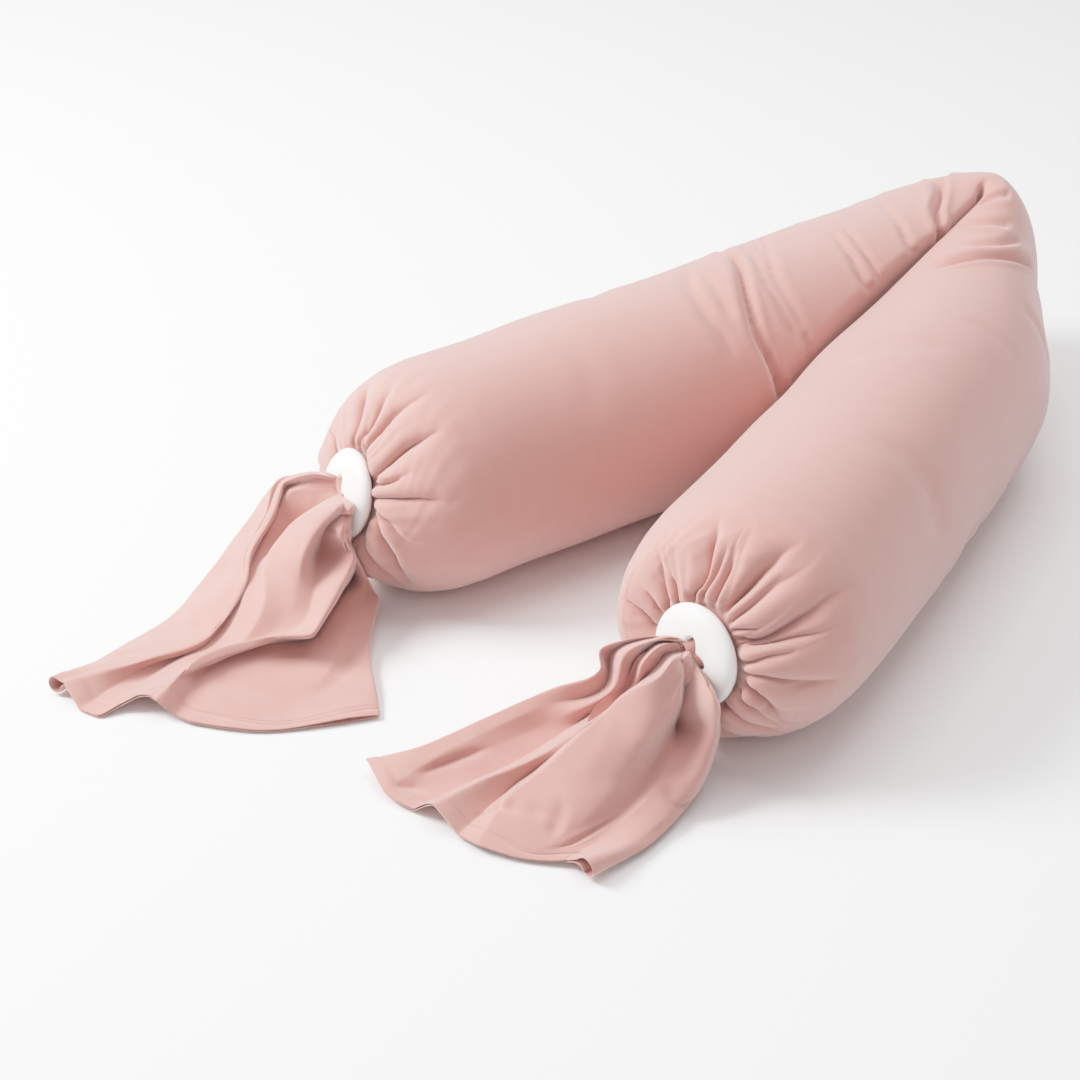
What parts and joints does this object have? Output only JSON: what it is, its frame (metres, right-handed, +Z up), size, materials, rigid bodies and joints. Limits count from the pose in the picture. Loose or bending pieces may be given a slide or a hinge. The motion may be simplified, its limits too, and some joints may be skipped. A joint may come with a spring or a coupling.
{
  "type": "pregnancy pillow",
  "caption": "Long filled body pillow in a jersey tube cover, bent in two on the floor, each cover end drawn through a pebble-shaped ring and left to fan out.",
  "frame": {"origin": "on the floor, at the centre of the footprint of the pillow and its loose ends", "axes": "+Z up; +Y along the pillow, from the loose ends towards the bend; +X from the leg of ring_a to the leg of ring_b"},
  "size_m": [0.6443, 1.1749, 0.258],
  "materials": {
    "jersey": "matte cotton jersey, dusty pink",
    "silicone": "satin, white"
  },
  "bodies": {
    "root": {"cover": "jersey", "ring_a": "silicone", "ring_b": "silicone"}
  },
  "joints": []
}
